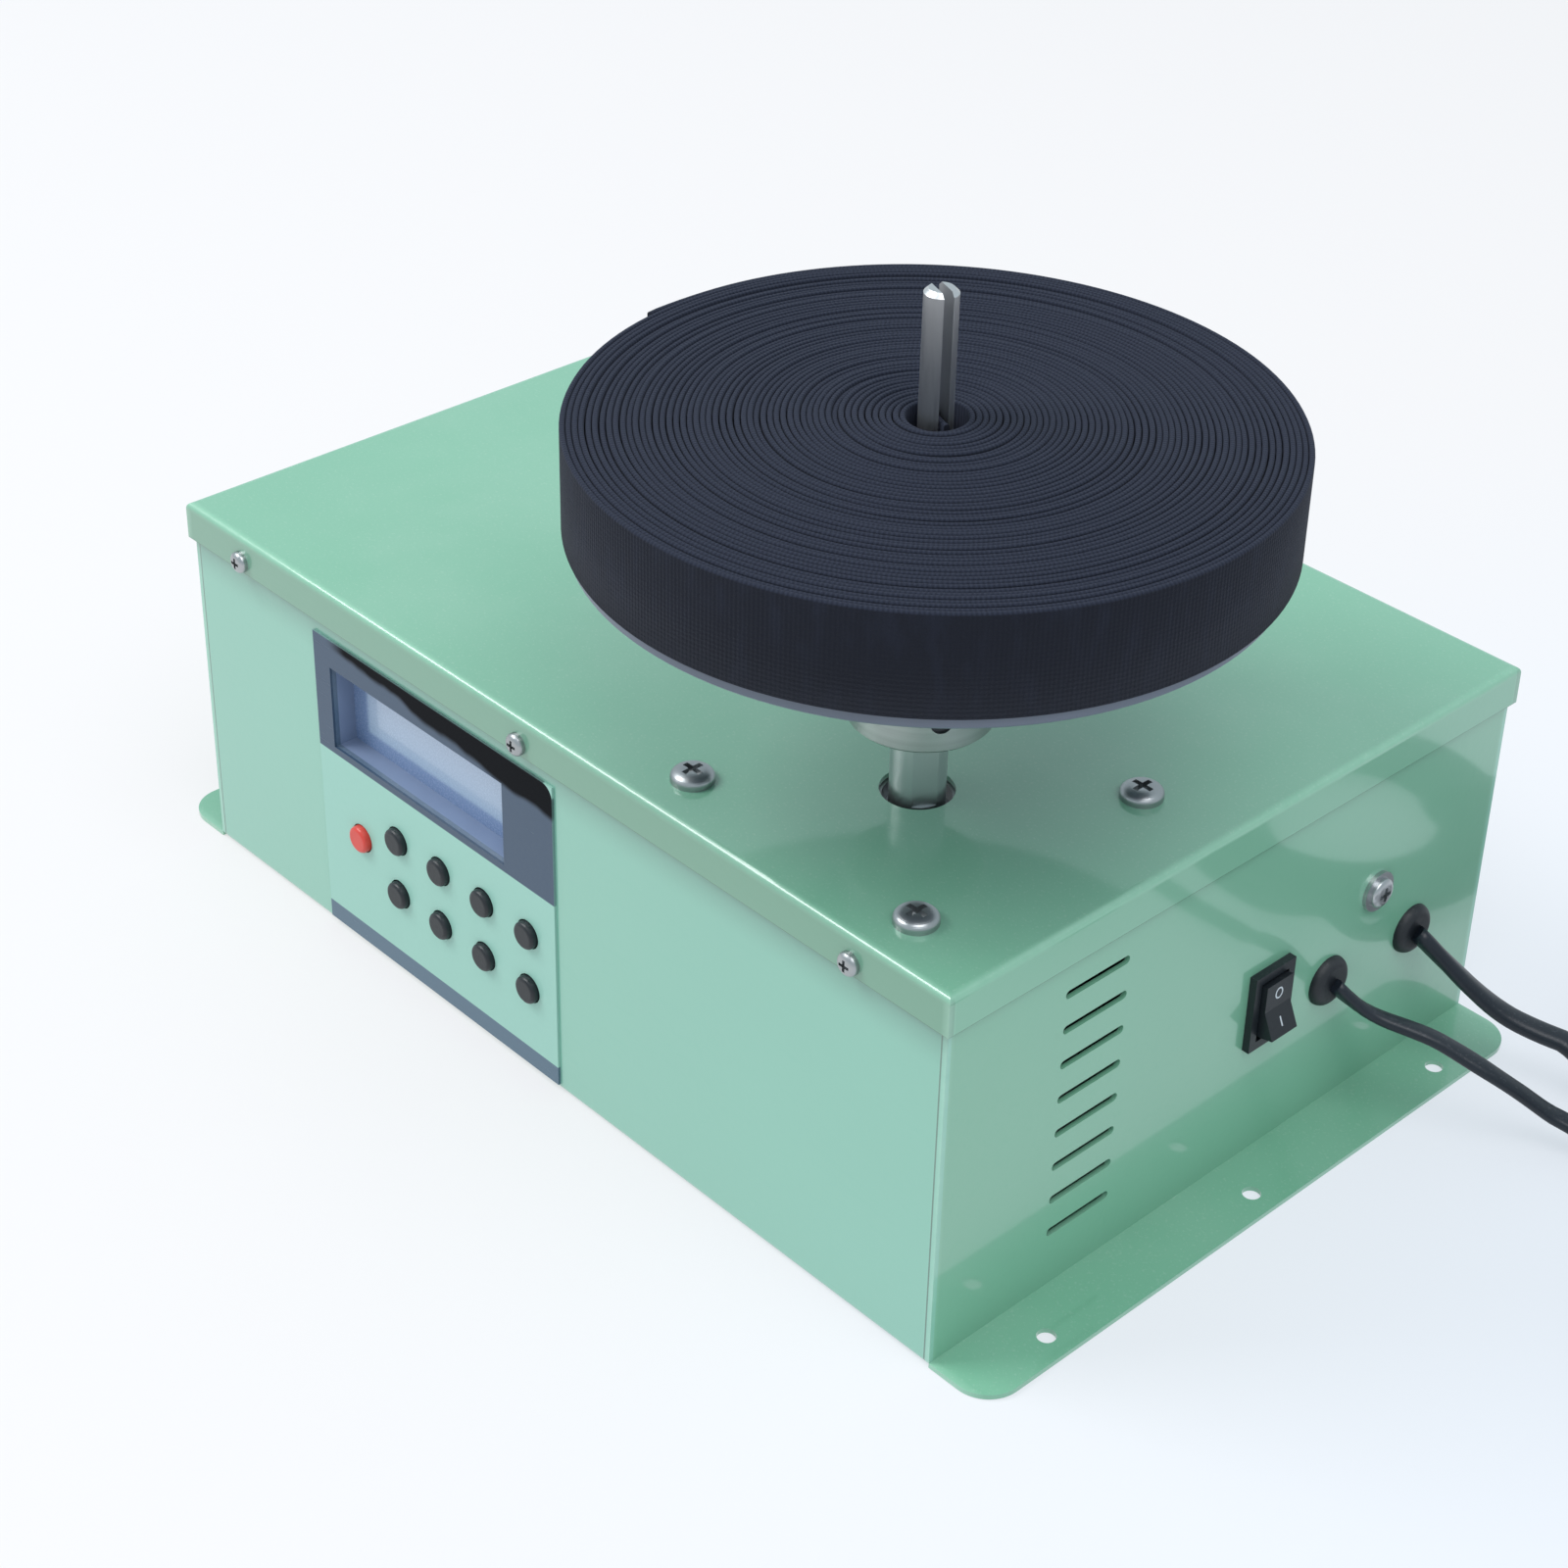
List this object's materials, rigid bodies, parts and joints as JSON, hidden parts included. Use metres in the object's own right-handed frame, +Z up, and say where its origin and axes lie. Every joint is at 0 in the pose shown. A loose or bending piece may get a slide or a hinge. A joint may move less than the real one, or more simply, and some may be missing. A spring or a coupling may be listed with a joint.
{
  "type": "tape winding machine",
  "caption": "Bench-top tape winder: green sheet-steel case with display and keys, vertical motor spindle with platter, slotted pin and a roll of tape, rocker switch and coiled cords.",
  "frame": {"origin": "centre of the case's footprint on the surface it stands on", "axes": "+Z up along the spindle, -Y the front with the display, +X the end with the switch and the cords"},
  "size_m": [0.466, 0.3106, 0.2215],
  "materials": {
    "case_paint": "semi-gloss powder coat, smooth",
    "zinc": "bright zinc-plated steel",
    "overlay_film": "glossy printed polycarbonate film, slate and case-green fields",
    "dark_plastic": "moulded dark plastic",
    "lcd": "pale blue-grey unlit display",
    "white_plastic": "diffuser",
    "board_green": "solder mask",
    "red_plastic": "glossy moulded",
    "black_plastic": "satin moulded",
    "brass_tin": "tinned brass",
    "black_rubber": "moulded",
    "bare_steel": "turned steel",
    "cast_aluminium": "die cast",
    "laminations": "painted laminations",
    "bearing_steel": "ground steel",
    "hub_aluminium": "turned, clear anodised",
    "black_steel": "black oxide",
    "platter_paint": "slate grey, satin",
    "tape": "black-navy woven hook-and-loop tape",
    "terminal_plastic": "terminal block",
    "cord_pvc": "black PVC sheath"
  },
  "bodies": {
    "case": {"chassis": "case_paint", "left_end_panel": "case_paint", "right_end_panel": "case_paint", "lid": "case_paint", "lid_screws": "zinc", "clinch_nuts": "zinc", "front_overlay": "overlay_film", "display_shroud": "dark_plastic", "lcd_glass": "lcd", "lcd_backlight": "white_plastic", "control_board": "board_green", "board_standoffs": "zinc", "board_screws": "zinc", "tact_switches": "dark_plastic", "rocker_housing": "black_plastic", "rocker_terminals": "brass_tin", "earth_screw": "zinc", "earth_washer": "zinc", "earth_nut": "zinc", "power_grommet": "black_rubber", "signal_grommet": "black_rubber", "motor_spacer": "bare_steel", "motor_flange": "cast_aluminium", "motor_stator": "laminations", "motor_rear_cap": "cast_aluminium", "front_bearing": "bearing_steel", "rear_bearing": "bearing_steel", "motor_screws": "zinc", "motor_nuts": "zinc", "power_supply": "bare_steel", "motor_driver": "dark_plastic", "terminal_blocks": "terminal_plastic", "power_cord_run": "cord_pvc", "power_cord_coil": "cord_pvc", "power_cord_tail": "cord_pvc", "power_plug": "black_rubber", "plug_pins": "zinc", "signal_cord_run": "cord_pvc", "signal_cord_coil": "cord_pvc", "signal_cord_tail": "cord_pvc", "signal_connector": "black_plastic"},
    "spindle": {"motor_rotor": "laminations", "motor_shaft": "bare_steel", "hub": "hub_aluminium", "hub_grub_screws": "black_steel", "platter": "platter_paint", "platter_screws": "zinc", "winding_pin": "bare_steel"},
    "tape_roll": {"tape_roll": "tape"},
    "rocker": {"rocker_paddle": "black_plastic"},
    "stop_button": {"stop_button": "red_plastic"},
    "upper_key_1": {"upper_key_1": "black_plastic"},
    "upper_key_2": {"upper_key_2": "black_plastic"},
    "upper_key_3": {"upper_key_3": "black_plastic"},
    "upper_key_4": {"upper_key_4": "black_plastic"},
    "lower_key_1": {"lower_key_1": "black_plastic"},
    "lower_key_2": {"lower_key_2": "black_plastic"},
    "lower_key_3": {"lower_key_3": "black_plastic"},
    "lower_key_4": {"lower_key_4": "black_plastic"}
  },
  "joints": [
    {"name": "spindle_turn", "type": "hinge", "parent": "case", "child": "spindle", "pos_m": [0.0772, -0.048, 0.1015], "axis": [0, 0, 1], "continuous": true},
    {"name": "roll_lift", "type": "slide", "parent": "spindle", "child": "tape_roll", "axis": [0, 0, 1], "range_m": [0, 0.06]},
    {"name": "rocker_tilt", "type": "hinge", "parent": "case", "child": "rocker", "pos_m": [0.1337, 0.012, 0.0445], "axis": [0, 1, 0], "range_deg": [0, 24]},
    {"name": "upper_key_1_press", "type": "slide", "parent": "case", "child": "upper_key_1", "axis": [0, 1, 0], "range_m": [0, 0.001], "stiffness_N_per_m": 250},
    {"name": "upper_key_2_press", "type": "slide", "parent": "case", "child": "upper_key_2", "axis": [0, 1, 0], "range_m": [0, 0.001], "stiffness_N_per_m": 250},
    {"name": "upper_key_3_press", "type": "slide", "parent": "case", "child": "upper_key_3", "axis": [0, 1, 0], "range_m": [0, 0.001], "stiffness_N_per_m": 250},
    {"name": "upper_key_4_press", "type": "slide", "parent": "case", "child": "upper_key_4", "axis": [0, 1, 0], "range_m": [0, 0.001], "stiffness_N_per_m": 250},
    {"name": "lower_key_1_press", "type": "slide", "parent": "case", "child": "lower_key_1", "axis": [0, 1, 0], "range_m": [0, 0.001], "stiffness_N_per_m": 250},
    {"name": "lower_key_2_press", "type": "slide", "parent": "case", "child": "lower_key_2", "axis": [0, 1, 0], "range_m": [0, 0.001], "stiffness_N_per_m": 250},
    {"name": "lower_key_3_press", "type": "slide", "parent": "case", "child": "lower_key_3", "axis": [0, 1, 0], "range_m": [0, 0.001], "stiffness_N_per_m": 250},
    {"name": "lower_key_4_press", "type": "slide", "parent": "case", "child": "lower_key_4", "axis": [0, 1, 0], "range_m": [0, 0.001], "stiffness_N_per_m": 250},
    {"name": "stop_button_press", "type": "slide", "parent": "case", "child": "stop_button", "axis": [0, 1, 0], "range_m": [0, 0.001], "stiffness_N_per_m": 250}
  ]
}
